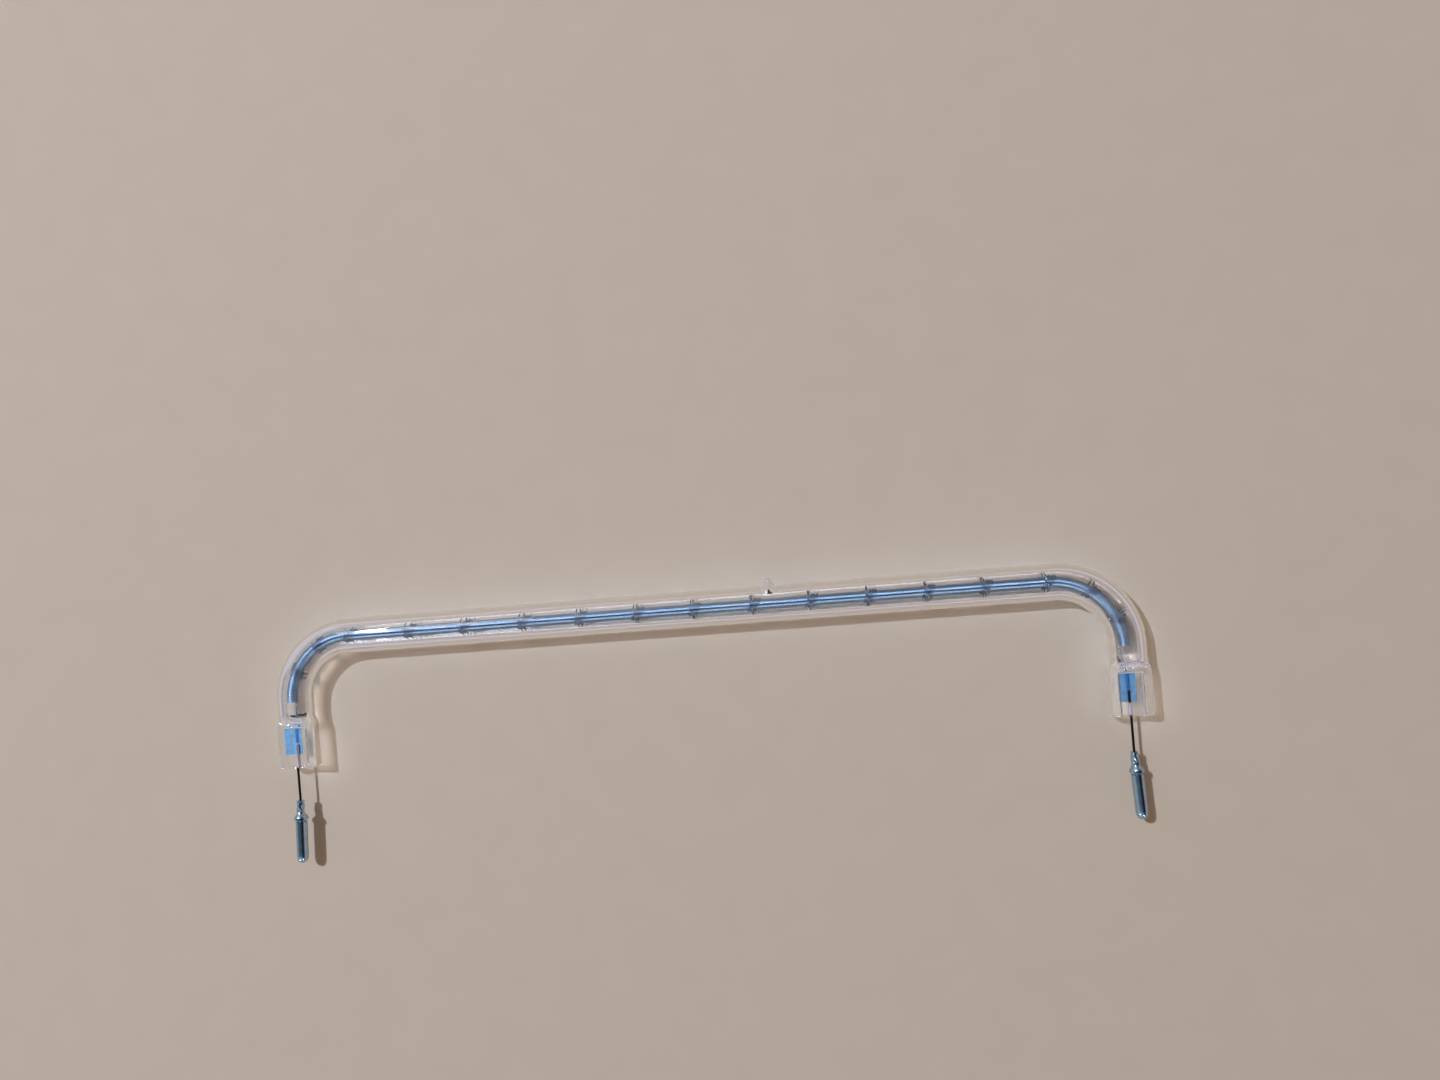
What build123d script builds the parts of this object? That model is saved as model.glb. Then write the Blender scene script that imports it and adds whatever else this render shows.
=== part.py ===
from build123d import *
from math import cos, pi, radians, sin
import os

# U-shaped quartz heating tube with a coiled filament, lying flat on its side.
# Sizes are in millimetres and angles in degrees.
# X runs along the span, the two legs point to -Y, and the tube rests on Z = 0.

# Quartz tube
tube_diameter = 10.0
tube_wall = 1.0
leg_spacing = 232.5            # between the centre lines of the two legs
bend_radius = 17.5             # of the tube's centre line
leg_straight = 4.5             # straight tube between a bend and its press

# Pressed seal at the end of each leg: a thin web between two raised ribs
press_width = 11.0
press_length = 14.9            # from the end of the round tube to the flat end
shoulder_length = 2.6          # where the round tube turns flat
rib_width = 2.5
rib_thickness = 4.2
web_thickness = 2.2
press_edge_radius = 0.5
press_corner_radius = 0.8
bore_end_depth = 2.2           # how far the bore reaches into the shoulder
bore_end_slit = 0.8            # height of the bore where it closes

# Tip-off nub, where the tube was pumped out and melted shut
nub_diameter = 4.0
nub_height = 2.8               # above the tube
nub_tip_radius = 0.7
nub_bore = 1.4
nub_bore_depth = 1.2           # how far its blind hole rises above the bore
nub_x = 22.8                   # from mid-span
nub_tilt = 25.0                # above the plane of the U

# Filament: a close winding of tungsten wire with a straight tail at each end
wire_diameter = 0.42
coil_diameter = 3.1
coil_outline_play = 0.03       # the winding's outline stands this far off its wire
coil_bend_play = 0.5           # the winding takes its bends this much wider than the tube
coil_straight_end = 0.5        # straight winding after each bend
coil_shift_left = -1.0         # the winding's left leg lies towards the outer wall
coil_shift_right = -0.6        # and its right leg towards the inner wall
tail_clear_of_foil = 0.5       # the tail is in line with the foil this far before it
tail_overlap = 4.4             # length welded under the foil

# Spiral supports: tight turns round the winding and one large loop in the bore
support_wire = 0.35
support_grip_turns = 3
support_grip_pitch = 0.6
support_grip_play = 0.03
support_loop_play = 0.7        # between the loop and the bore
support_loop_angle = 300.0
support_span_margin = 0.77     # between the outer supports of the span and the tube's bends
support_row_shift = -0.33      # of the row along the span
# Where each support of the span stands in the row: they were placed by hand, a little unevenly
support_shares = (0.0, 0.092, 0.176, 0.263, 0.347, 0.43, 0.512, 0.596, 0.677, 0.758, 0.839, 0.917, 1.0)
support_angles_left = (62.0, 28.0)     # round each bend, from the span
support_angles_right = (37.0, 67.0)

# Foil sealed in the web
foil_width = 4.2
foil_length = 7.8
foil_thickness = 0.05
foil_depth = 3.5               # from the end of the round tube to the foil
foil_offset_left = -0.8        # the left foil's middle lies this far off its wires
weld_flat = 0.06               # how deep each wire is pressed flat against the foil
seal_shift_left = -0.8         # the left foil and its wires lie towards the flat's outer side
seal_shift_right = -0.35       # and the right ones towards its inner side

# Outer lead, a rod welded on the foil
lead_diameter = 0.68
lead_overlap = 3.1
lead_gap = 0.14                # open all round the rod from the foil to the flat end
lead_free_length = 9.5         # between the press and the terminal
lead_end_straight = 0.8        # of that, in line with the terminal

# Terminal: a rolled crimp barrel, a collar and a round pin
pin_diameter = 3.2
pin_length = 12.4              # from the collar to the tip
pin_tip_length = 2.2
pin_end_diameter = 1.2         # flat end of the rounded tip
neck_diameter = 2.8
neck_length = 0.4              # groove between the collar and the pin
collar_diameter = 3.9
collar_length = 0.7
cone_length = 1.3
barrel_diameter = 2.2
barrel_length = 3.5
barrel_sheet = 0.3             # thickness of the rolled sheet, seen at its edge
lead_grip = 4.0                # rod inside the terminal
terminal_lean = 2.4            # away from the other terminal

# Radii and reaches that follow from them
tube_radius = tube_diameter / 2
bore_radius = tube_radius - tube_wall
nub_radius = nub_diameter / 2
wire_radius = wire_diameter / 2
coil_radius = coil_diameter / 2
winding_radius = coil_radius - coil_outline_play - wire_radius
lead_radius = lead_diameter / 2
leg_x = leg_spacing / 2
coil_bend_radius = bend_radius + coil_bend_play
support_row_length = leg_spacing - 2 * (bend_radius + support_span_margin)
web_width = press_width - 2 * rib_width
terminal_length = barrel_length + cone_length + collar_length + pin_length
nub_reach = (tube_radius + nub_height - nub_tip_radius) * cos(radians(nub_tilt)) + nub_tip_radius
leg_reach = bend_radius + leg_straight + press_length
lead_straight_length = lead_free_length - lead_end_straight
lean_length = lead_end_straight + terminal_length
terminal_reach = leg_reach + lead_straight_length + lean_length * cos(radians(terminal_lean))

# Places along Y, with the origin midway between the nub's tip and the terminals' tips
span_y = (terminal_reach - nub_reach) / 2
press_top_y = span_y - bend_radius - leg_straight
press_end_y = span_y - leg_reach
coil_end_y = span_y - coil_bend_radius - coil_straight_end
foil_top_y = press_top_y - foil_depth
foil_end_y = foil_top_y - foil_length
lead_bend_y = press_end_y - lead_straight_length

# Heights
axis_z = tube_radius
tail_z = axis_z - foil_thickness / 2 - wire_radius + weld_flat
lead_z = axis_z + foil_thickness / 2 + lead_radius - weld_flat

sides = (("left", -1), ("right", 1))
coil_leg_x = {"left": -leg_x + coil_shift_left, "right": leg_x + coil_shift_right}
seal_x = {"left": -leg_x + seal_shift_left, "right": leg_x + seal_shift_right}
foil_x = {"left": seal_x["left"] + foil_offset_left, "right": seal_x["right"]}
tube_plane = Plane.XY.offset(axis_z)
os.makedirs("parts", exist_ok=True)


def down_the_leg(x, y, z):
    """Plane across a leg at a point: local X is X, local Y is Z and its normal is -Y."""
    return Plane(origin=(x, y, z), x_dir=(1, 0, 0), z_dir=(0, -1, 0))


# Centre lines of the tube and of the winding, from the left leg to the right one
with BuildLine(tube_plane) as tube_line:
    FilletPolyline(
        (-leg_x, press_top_y), (-leg_x, span_y), (leg_x, span_y), (leg_x, press_top_y),
        radius=bend_radius,
    )
with BuildLine(tube_plane) as coil_line:
    FilletPolyline(
        (coil_leg_x["left"], coil_end_y), (coil_leg_x["left"], span_y),
        (coil_leg_x["right"], span_y), (coil_leg_x["right"], coil_end_y),
        radius=coil_bend_radius,
    )
tube_axis = tube_line.wire()
coil_axis = coil_line.wire()

# Foils
foils = {}
for side, _ in sides:
    with BuildPart() as foil:
        with BuildSketch(down_the_leg(foil_x[side], foil_top_y, axis_z)):
            Rectangle(foil_width, foil_thickness)
        extrude(amount=foil_length)
    foils[side] = foil.part
    foil.part.label = f"foil_{side}"
    export_step(foil.part, f"parts/foil_{side}.step")

# Filament: the outer form of the winding, hollow as the winding is, and its two tails.
# Each tail leaves the rim on the side of the U's inside and is pressed flat under its foil.
with BuildPart() as filament:
    with BuildSketch(Plane(origin=coil_axis @ 0, z_dir=coil_axis % 0)):
        Circle(coil_radius)
        Circle(winding_radius - wire_radius - coil_outline_play, mode=Mode.SUBTRACT)
    sweep(path=coil_axis)
    for side, sign in sides:
        rim_x = coil_leg_x[side] - sign * winding_radius
        last_turn_y = coil_end_y + coil_straight_end / 2
        with BuildLine() as tail_line:
            Polyline(
                (rim_x, last_turn_y, axis_z), (rim_x, coil_end_y, axis_z),
                (seal_x[side], foil_top_y + tail_clear_of_foil, tail_z),
                (seal_x[side], foil_top_y - tail_overlap, tail_z),
            )
        with BuildSketch(down_the_leg(rim_x, last_turn_y, axis_z)):
            Circle(wire_radius)
        sweep(path=tail_line.wire(), transition=Transition.RIGHT)
        add(foils[side], mode=Mode.SUBTRACT)
filament.part.label = "filament"
export_step(filament.part, "parts/filament.step")

# Spiral supports, placed by their distance along the winding's centre line.
# Each is a collar of tight turns, a half turn that opens out, and most of one large loop,
# which stays concentric with the tube where the winding does not.
grip_radius = coil_radius + support_grip_play
collar_wire_radius = grip_radius + support_wire / 2
loop_radius = bore_radius - support_loop_play - support_wire / 2
bend_length = pi / 2 * coil_bend_radius
span_start = coil_straight_end + bend_length
span_end = coil_axis.length - span_start
mid_span = span_start - coil_leg_x["left"] - coil_bend_radius
first_on_span = mid_span + support_row_shift - support_row_length / 2
support_places = [span_start - radians(angle) * coil_bend_radius for angle in support_angles_left]
support_places += [first_on_span + share * support_row_length for share in support_shares]
support_places += [span_end + radians(angle) * coil_bend_radius for angle in support_angles_right]

for number, place in enumerate(support_places, 1):
    centre = coil_axis.position_at(place, position_mode=PositionMode.LENGTH)
    along = coil_axis.tangent_at(place, position_mode=PositionMode.LENGTH)
    outward = Vector(0, 0, 1).cross(along)
    across = Plane(origin=centre, x_dir=outward, z_dir=along)
    lengthwise = Plane(origin=centre, x_dir=along, z_dir=Vector(0, 0, 1))
    _, tube_point, _ = tube_axis.distance_to_with_closest_points(centre)
    loop_shift = (tube_point - centre).dot(outward)
    opening_radius = (loop_shift + loop_radius + collar_wire_radius) / 2
    opening_centre = (loop_shift + loop_radius - collar_wire_radius) / 2
    with BuildPart() as support:
        with BuildSketch(lengthwise):
            with Locations((0, collar_wire_radius)):
                Rectangle(support_grip_turns * support_grip_pitch, support_wire)
        revolve(axis=Axis(centre, along))
        with BuildLine(across) as support_line:
            CenterArc((opening_centre, 0), opening_radius, 180, -180)
            CenterArc((loop_shift, 0), loop_radius, 0, -support_loop_angle)
        support_path = support_line.wire()
        with BuildSketch(Plane(origin=support_path @ 0, z_dir=support_path % 0)):
            Circle(support_wire / 2)
        sweep(path=support_path)
    name = f"support_{number:02d}"
    support.part.label = name
    export_step(support.part, f"parts/{name}.step")

# Outer leads: straight out of the press, then in line with the terminal that grips them
leads = {}
lean = radians(terminal_lean)
for side, sign in sides:
    lead_bend = Vector(seal_x[side], lead_bend_y, lead_z)
    to_tip = Vector(sign * sin(lean), -cos(lean), 0)
    with BuildPart() as lead:
        with BuildLine() as lead_line:
            Polyline(
                (seal_x[side], foil_end_y + lead_overlap, lead_z), lead_bend,
                lead_bend + to_tip * (lead_end_straight + lead_grip),
            )
        with BuildSketch(down_the_leg(seal_x[side], foil_end_y + lead_overlap, lead_z)):
            Circle(lead_radius)
        sweep(path=lead_line.wire(), transition=Transition.RIGHT)
        add(foils[side], mode=Mode.SUBTRACT)
    leads[side] = lead.part
    lead.part.label = f"lead_{side}"
    export_step(lead.part, f"parts/lead_{side}.step")

# Terminals, each turned about its own axis from the barrel's end to the tip
for side, sign in sides:
    to_tip = Vector(sign * sin(lean), -cos(lean), 0)
    sideways = Vector(0, 0, 1).cross(to_tip)
    top = Vector(seal_x[side], lead_bend_y, lead_z) + to_tip * lead_end_straight
    cone_start = barrel_length
    collar_start = cone_start + cone_length
    pin_start = collar_start + collar_length
    step = barrel_diameter / 2 - barrel_sheet / 2
    with BuildPart() as terminal:
        with BuildSketch(Plane(origin=top, x_dir=sideways, z_dir=sideways.cross(to_tip))):
            with BuildLine():
                Polyline(
                    (0, cone_start), (barrel_diameter / 2, cone_start),
                    (collar_diameter / 2, collar_start), (collar_diameter / 2, pin_start),
                    (neck_diameter / 2, pin_start), (neck_diameter / 2, pin_start + neck_length),
                    (pin_diameter / 2, pin_start + neck_length),
                    (pin_diameter / 2, terminal_length - pin_tip_length),
                )
                TangentArc(
                    (pin_diameter / 2, terminal_length - pin_tip_length),
                    (pin_end_diameter / 2, terminal_length), tangent=(0, 1),
                )
                Polyline((pin_end_diameter / 2, terminal_length), (0, terminal_length), (0, cone_start))
            make_face()
        revolve(axis=Axis(top, to_tip))
        # The barrel's rolled sheet overlaps itself, which leaves one edge standing along it
        with BuildSketch(Plane(origin=top, x_dir=sideways, z_dir=to_tip)):
            with BuildLine():
                CenterArc((0, 0), barrel_diameter / 2, 90, 180)
                CenterArc((0, -barrel_sheet / 2), step, 270, 180)
                Line((0, step - barrel_sheet / 2), (0, barrel_diameter / 2))
            make_face()
        extrude(amount=barrel_length)
        add(leads[side], mode=Mode.SUBTRACT)
    terminal.part.label = f"terminal_{side}"
    export_step(terminal.part, f"parts/terminal_{side}.step")

# Flat of the right press, with its two raised ribs, and the shoulder that joins it to the tube
right_press = down_the_leg(leg_x, press_top_y, axis_z)
right_press_side = Plane(origin=(leg_x, press_top_y, axis_z), x_dir=(0, -1, 0), z_dir=(1, 0, 0))
press_mid_y = press_top_y - (press_length + shoulder_length / 2) / 2
with BuildPart() as press_flat:
    with BuildSketch(tube_plane):
        with Locations((leg_x, press_mid_y)):
            RectangleRounded(press_width, press_length - shoulder_length / 2, press_corner_radius)
    extrude(amount=rib_thickness / 2, both=True)
    fillet(faces().filter_by(Axis.Z).edges(), press_edge_radius)
    for facing in (1, -1):
        web_face = Plane(
            origin=(leg_x, press_end_y, axis_z + facing * web_thickness / 2),
            x_dir=(1, 0, 0), z_dir=(0, 0, facing),
        )
        with BuildSketch(web_face):
            RectangleRounded(web_width, 2 * (press_length - shoulder_length), press_corner_radius)
        extrude(amount=rib_thickness, mode=Mode.SUBTRACT)
with BuildPart() as press_shoulder:
    with BuildSketch(right_press):
        Circle(tube_radius)
    extrude(amount=shoulder_length)
    with BuildSketch(right_press_side):
        Polygon(
            (0, tube_radius), (shoulder_length, rib_thickness / 2),
            (shoulder_length, -rib_thickness / 2), (0, -tube_radius), align=None,
        )
    extrude(amount=tube_radius, both=True, mode=Mode.INTERSECT)

# End of the bore in the right shoulder: closed to a slit, and rounded as seen from above
with BuildPart() as bore_end:
    with BuildSketch(right_press):
        Circle(bore_radius)
    extrude(amount=bore_end_depth)
    with BuildSketch(right_press_side):
        Polygon(
            (0, bore_radius), (bore_end_depth, bore_end_slit / 2),
            (bore_end_depth, -bore_end_slit / 2), (0, -bore_radius), align=None,
        )
    extrude(amount=bore_radius, both=True, mode=Mode.INTERSECT)
    with BuildSketch(tube_plane):
        with BuildLine():
            Line((leg_x - bore_radius, press_top_y), (leg_x + bore_radius, press_top_y))
            ThreePointArc(
                (leg_x - bore_radius, press_top_y), (leg_x, press_top_y - bore_end_depth),
                (leg_x + bore_radius, press_top_y),
            )
        make_face()
    extrude(amount=bore_radius, both=True, mode=Mode.INTERSECT)

# Inside of the tube: the bore and its two ends
with BuildPart() as bore:
    with BuildSketch(Plane(origin=tube_axis @ 0, z_dir=tube_axis % 0)):
        Circle(bore_radius)
    sweep(path=tube_axis)
    add(bore_end.part)
    add(mirror(bore_end.part, about=Plane.YZ, mode=Mode.PRIVATE))

# Quartz tube: bent tube, presses and nub, hollowed for the bore and for the metal sealed in it
nub_axis = Vector(0, cos(radians(nub_tilt)), sin(radians(nub_tilt)))
nub_foot = Vector(nub_x, span_y, axis_z)
nub_plane = Plane(origin=nub_foot, x_dir=(1, 0, 0), z_dir=Vector(1, 0, 0).cross(nub_axis))
nub_top = tube_radius + nub_height
with BuildPart() as quartz_tube:
    with BuildSketch(Plane(origin=tube_axis @ 0, z_dir=tube_axis % 0)):
        Circle(tube_radius)
    sweep(path=tube_axis)
    for piece in (press_flat, press_shoulder):
        add(piece.part)
        add(mirror(piece.part, about=Plane.YZ, mode=Mode.PRIVATE))
    with BuildSketch(nub_plane):
        with BuildLine():
            Polyline((0, nub_top), (0, bore_radius), (nub_radius, bore_radius), (nub_radius, tube_radius))
            Line((nub_radius, tube_radius), (nub_tip_radius, nub_top - nub_tip_radius))
            CenterArc((0, nub_top - nub_tip_radius), nub_tip_radius, 0, 90)
        make_face()
    revolve(axis=Axis(nub_foot, nub_axis))
    add(bore.part, mode=Mode.SUBTRACT)
    with BuildSketch(nub_plane):
        Polygon((0, 0), (nub_bore / 2, 0), (nub_bore / 2, bore_radius), (0, bore_radius + nub_bore_depth),
                align=None)
    revolve(axis=Axis(nub_foot, nub_axis), mode=Mode.SUBTRACT)
    add(filament.part, mode=Mode.SUBTRACT)
    for side, _ in sides:
        add(foils[side], mode=Mode.SUBTRACT)
        add(leads[side], mode=Mode.SUBTRACT)
        with BuildSketch(down_the_leg(seal_x[side], foil_end_y, lead_z)):
            Circle(lead_radius + lead_gap)
        extrude(amount=foil_end_y - press_end_y, mode=Mode.SUBTRACT)
quartz_tube.part.label = "quartz_tube"
export_step(quartz_tube.part, "parts/quartz_tube.step")
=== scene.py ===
import math

import bpy
from mathutils import Euler, Matrix, Vector


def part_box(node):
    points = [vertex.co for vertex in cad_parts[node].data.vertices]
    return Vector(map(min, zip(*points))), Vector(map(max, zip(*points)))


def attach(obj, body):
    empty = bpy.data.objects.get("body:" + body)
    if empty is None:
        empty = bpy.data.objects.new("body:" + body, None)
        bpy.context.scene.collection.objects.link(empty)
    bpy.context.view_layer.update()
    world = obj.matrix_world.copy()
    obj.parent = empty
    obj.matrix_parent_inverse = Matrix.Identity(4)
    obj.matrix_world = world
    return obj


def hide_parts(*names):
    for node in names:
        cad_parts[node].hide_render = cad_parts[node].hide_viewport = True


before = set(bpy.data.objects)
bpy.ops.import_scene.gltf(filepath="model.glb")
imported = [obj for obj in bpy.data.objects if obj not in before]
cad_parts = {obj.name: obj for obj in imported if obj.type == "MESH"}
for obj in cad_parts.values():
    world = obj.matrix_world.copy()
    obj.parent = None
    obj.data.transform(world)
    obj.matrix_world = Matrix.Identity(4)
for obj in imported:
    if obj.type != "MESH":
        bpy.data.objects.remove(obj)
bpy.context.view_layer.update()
print("frame loaded,", len(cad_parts), "nodes")

mm = 0.001
up = Vector((0, 0, 1))

# The lamp lies flat with its span along X and its legs towards -Y. Main places, read off the solids.
glassLow, glassHigh = [Vector(corner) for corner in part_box("quartz_tube")]
coilLow, coilHigh = [Vector(corner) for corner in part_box("filament")]
foilBoxes = {name: [Vector(corner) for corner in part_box(f"foil_{name}")] for name in ("left", "right")}
foilLow, foilHigh = foilBoxes["right"]
leadBoxes = {name: [Vector(corner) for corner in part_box(f"lead_{name}")] for name in ("left", "right")}
coilRadius = 1.55 * mm
leadRadius = 0.34 * mm
axisZ = (foilLow.z + foilHigh.z) / 2
foilX = {name: (low.x + high.x) / 2 for name, (low, high) in foilBoxes.items()}
# Each rod is straight in its press and leans outwards below it
sealX = {"left": leadBoxes["left"][1].x - leadRadius, "right": leadBoxes["right"][0].x + leadRadius}
spanY = coilHigh.y - coilRadius
pressEndY = glassLow.y


def linear(hexCode):
    # sRGB hex to the linear colour a shader takes
    channels = [int(hexCode[i:i + 2], 16) / 255 for i in (1, 3, 5)]
    return tuple(c / 12.92 if c <= 0.04045 else ((c + 0.055) / 1.055) ** 2.4 for c in channels) + (1.0,)


def addNode(tree, kind, settings=None, links=None):
    # a key is a socket's name or number, or else a property of the node
    node = tree.nodes.new(kind)
    for key, value in (settings or {}).items():
        if isinstance(key, int) or key in node.inputs:
            node.inputs[key].default_value = value
        else:
            setattr(node, key, value)
    for key, source in (links or {}).items():
        tree.links.new(source, node.inputs[key])
    return node


def fillRamp(ramp, stops):
    # sets a colour ramp's stops from (position, hex) pairs
    stops = list(stops)
    while len(ramp.elements) < len(stops):
        ramp.elements.new(1.0)
    for element, (position, hexCode) in zip(ramp.elements, stops):
        element.position = position
        element.color = linear(hexCode)


def newMaterial(name):
    material = bpy.data.materials.new(name)
    material.use_nodes = True
    material.node_tree.nodes.clear()
    return material, material.node_tree


def smoothStep(value):
    value = min(1.0, max(0.0, value))
    return value * value * (3 - 2 * value)


def makePiece(name, points, faces, material, node, slotName, sharpAngle=38):
    mesh = bpy.data.meshes.new(name)
    mesh.from_pydata([tuple(p) for p in points], [], faces)
    mesh.validate()
    mesh.polygons.foreach_set("use_smooth", [True] * len(mesh.polygons))
    mesh.set_sharp_from_angle(angle=math.radians(sharpAngle))
    mesh.materials.append(material)
    piece = bpy.data.objects.new(name, mesh)
    bpy.context.scene.collection.objects.link(piece)
    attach(piece, "root")
    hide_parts(node)
    return piece


def setMask(piece, maskName, share):
    # stores a number from 0 to 1 at each point, for the material to read
    values = [share(vertex.co) for vertex in piece.data.vertices]
    piece.data.attributes.new(maskName, "FLOAT", "POINT").data.foreach_set("value", values)


def ringFaces(count, sides, first=0, flip=False):
    # quads that join rings of points, one ring after the other
    faces = []
    for ring in range(count - 1):
        here = first + ring * sides
        for i in range(sides):
            j = (i + 1) % sides
            quad = (here + i, here + j, here + sides + j, here + sides + i)
            faces.append(quad[::-1] if flip else quad)
    return faces


def uLine(leftX, rightX, endY, radius):
    # a U from the left leg's end to the right leg's end, as a function of the distance along it
    leg = spanY - radius - endY
    arc = math.pi / 2 * radius
    span = rightX - leftX - 2 * radius

    def at(distance):
        s = distance
        if s <= leg:
            point, heading = (leftX, endY + s), math.pi / 2
        elif s <= leg + arc:
            turn = (s - leg) / radius
            point = (leftX + radius - radius * math.cos(turn), spanY - radius + radius * math.sin(turn))
            heading = math.pi / 2 - turn
        elif s <= leg + arc + span:
            point, heading = (leftX + radius + s - leg - arc, spanY), 0.0
        elif s <= leg + 2 * arc + span:
            turn = (s - leg - arc - span) / radius
            point = (rightX - radius + radius * math.sin(turn), spanY - radius + radius * math.cos(turn))
            heading = -turn
        else:
            point, heading = (rightX, spanY - radius - (s - leg - 2 * arc - span)), -math.pi / 2
        along = Vector((math.cos(heading), math.sin(heading), 0))
        outward = Vector((-along.y, along.x, 0))
        return Vector((point[0], point[1], axisZ)), along, outward

    return at, {"leg": leg, "arc": arc, "span": span, "total": 2 * (leg + arc) + span}


def wireAlong(path, radius, sides):
    # round wire along a list of points, with flat ends that have a small bevel
    tangents = []
    for i, point in enumerate(path):
        before, after = path[max(0, i - 1)], path[min(len(path) - 1, i + 1)]
        tangents.append((after - before).normalized())
    side = tangents[0].orthogonal().normalized()
    points = []
    bevel = 0.18 * radius
    starts = [(path[0], tangents[0], radius - bevel)]
    middles = [(p, t, radius) for p, t in zip(path, tangents)]
    middles[0] = (path[0] + tangents[0] * bevel, tangents[0], radius)
    middles[-1] = (path[-1] - tangents[-1] * bevel, tangents[-1], radius)
    ends = [(path[-1], tangents[-1], radius - bevel)]
    rings = starts + middles + ends
    for centre, tangent, size in rings:
        side = (side - tangent * side.dot(tangent)).normalized()
        other = tangent.cross(side)
        for k in range(sides):
            angle = 2 * math.pi * k / sides
            points.append(centre + (side * math.cos(angle) + other * math.sin(angle)) * size)
    faces = ringFaces(len(rings), sides)
    last = (len(rings) - 1) * sides
    faces.append(tuple(range(sides))[::-1])
    faces.append(tuple(range(last, last + sides)))
    return points, faces


def bezier(a, b, c, d, count):
    steps = [i / count for i in range(count + 1)]
    return [a * (1 - t) ** 3 + b * 3 * t * (1 - t) ** 2 + c * 3 * t * t * (1 - t) + d * t ** 3 for t in steps]


def fusedQuartz():
    # Fused quartz, drawn and flame-polished: clear and colourless, low glare, faint waves where it was worked
    material, tree = newMaterial("fusedQuartzFlamePolished")
    coordinates = addNode(tree, "ShaderNodeTexCoord")
    # the drawn tube is straight to the eye, with waves about 14 mm long and a few hundredths deep
    waves = addNode(tree, "ShaderNodeTexNoise", {"Scale": 1 / (14 * mm), "Detail": 1.0}, {
        "Vector": coordinates.outputs["Object"],
    })
    bump = addNode(tree, "ShaderNodeBump", {"Strength": 0.1, "Distance": 0.04 * mm}, {
        "Height": waves.outputs[0],
    })
    # the press left ripples 1.3 mm wide in the shoulders and the flat ends, and so did the flame at the nub
    ripples = addNode(tree, "ShaderNodeTexNoise", {"Scale": 1 / (1.3 * mm), "Detail": 1.0}, {
        "Vector": coordinates.outputs["Object"],
    })
    pressed = addNode(tree, "ShaderNodeAttribute", {"attribute_name": "pressed"})
    bump = addNode(tree, "ShaderNodeBump", {"Distance": 0.2 * mm}, {
        "Height": ripples.outputs[0], "Strength": pressed.outputs["Fac"], "Normal": bump.outputs[0],
    })
    glass = addNode(tree, "ShaderNodeBsdfPrincipled", {
        "Base Color": linear("#fbfcff"), "Roughness": 0.0, "IOR": 1.458, "Transmission Weight": 1.0,
    }, {"Normal": bump.outputs[0]})
    # Lamps shine through it, and its steep edges hold most of the light back, as a real tube's do
    edge = addNode(tree, "ShaderNodeLayerWeight", {"Blend": 0.5})
    shade = addNode(tree, "ShaderNodeValToRGB", {}, {"Fac": edge.outputs["Facing"]})
    fillRamp(shade.color_ramp, [(0.0, "#f4f1ec"), (0.15, "#e4ddd3"), (0.55, "#c6bbab"), (1.0, "#968775")])
    clear = addNode(tree, "ShaderNodeBsdfTransparent", {}, {"Color": shade.outputs[0]})
    rays = addNode(tree, "ShaderNodeLightPath")
    mix = addNode(tree, "ShaderNodeMixShader", {}, {
        0: rays.outputs["Is Shadow Ray"], 1: glass.outputs[0], 2: clear.outputs[0],
    })
    addNode(tree, "ShaderNodeOutputMaterial", {}, {"Surface": mix.outputs[0]})
    return material


def metalMaterial(name, hexCodes, roughness, grainSize, metallic=1.0, grainDepth=0.0, mask=None):
    # a metal whose colour and gloss drift a little between two values, in patches of the grain's size;
    # a mask names a number stored on the mesh and gives the metal's colour where that number is 1
    material, tree = newMaterial(name)
    coordinates = addNode(tree, "ShaderNodeTexCoord")
    grain = addNode(tree, "ShaderNodeTexNoise", {"Scale": 1 / grainSize, "Detail": 3.0}, {
        "Vector": coordinates.outputs["Object"],
    })
    colour = addNode(tree, "ShaderNodeValToRGB", {}, {"Fac": grain.outputs[0]})
    fillRamp(colour.color_ramp, [(0.35, hexCodes[0]), (0.7, hexCodes[1])])
    tint = colour.outputs[0]
    if mask:
        maskName, maskHex = mask
        share = addNode(tree, "ShaderNodeAttribute", {"attribute_name": maskName})
        mix = addNode(tree, "ShaderNodeMix", {"data_type": "RGBA", 7: linear(maskHex)}, {
            0: share.outputs["Fac"], 6: tint,
        })
        tint = mix.outputs[2]
    gloss = addNode(tree, "ShaderNodeMapRange", {"To Min": roughness[0], "To Max": roughness[1]}, {
        "Value": grain.outputs[0],
    })
    metal = addNode(tree, "ShaderNodeBsdfPrincipled", {"Metallic": metallic}, {
        "Base Color": tint, "Roughness": gloss.outputs[0],
    })
    if grainDepth:
        bump = addNode(tree, "ShaderNodeBump", {"Distance": grainDepth}, {"Height": grain.outputs[0]})
        tree.links.new(bump.outputs[0], metal.inputs["Normal"])
    addNode(tree, "ShaderNodeOutputMaterial", {}, {"Surface": metal.outputs[0]})
    return material


quartzGlass = fusedQuartz()
# Drawn tungsten wire, tightly wound: glossy, so each turn carries a thin bright line. Its pale steel blue is a
# painted reflection of the bluish room light, put into the metal's own colour.
# Its drawing marks are a few microns, far too fine to show, so the drift is drawn 0.8 mm long
tungstenWire = metalMaterial("tungstenWireDrawn", ("#8fa9c4", "#a2bad0"), (0.12, 0.18), 0.8 * mm)
# Drawn molybdenum wire of the supports: darker and glossier, so that it glints. Its blue-grey tint is a painted
# reflection of the bluish room light. Its marks are as fine, and the drift is drawn 0.6 mm long
supportWire = metalMaterial("molybdenumWireDrawn", ("#6b7890", "#8c9ab0"), (0.06, 0.1), 0.6 * mm)
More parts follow.
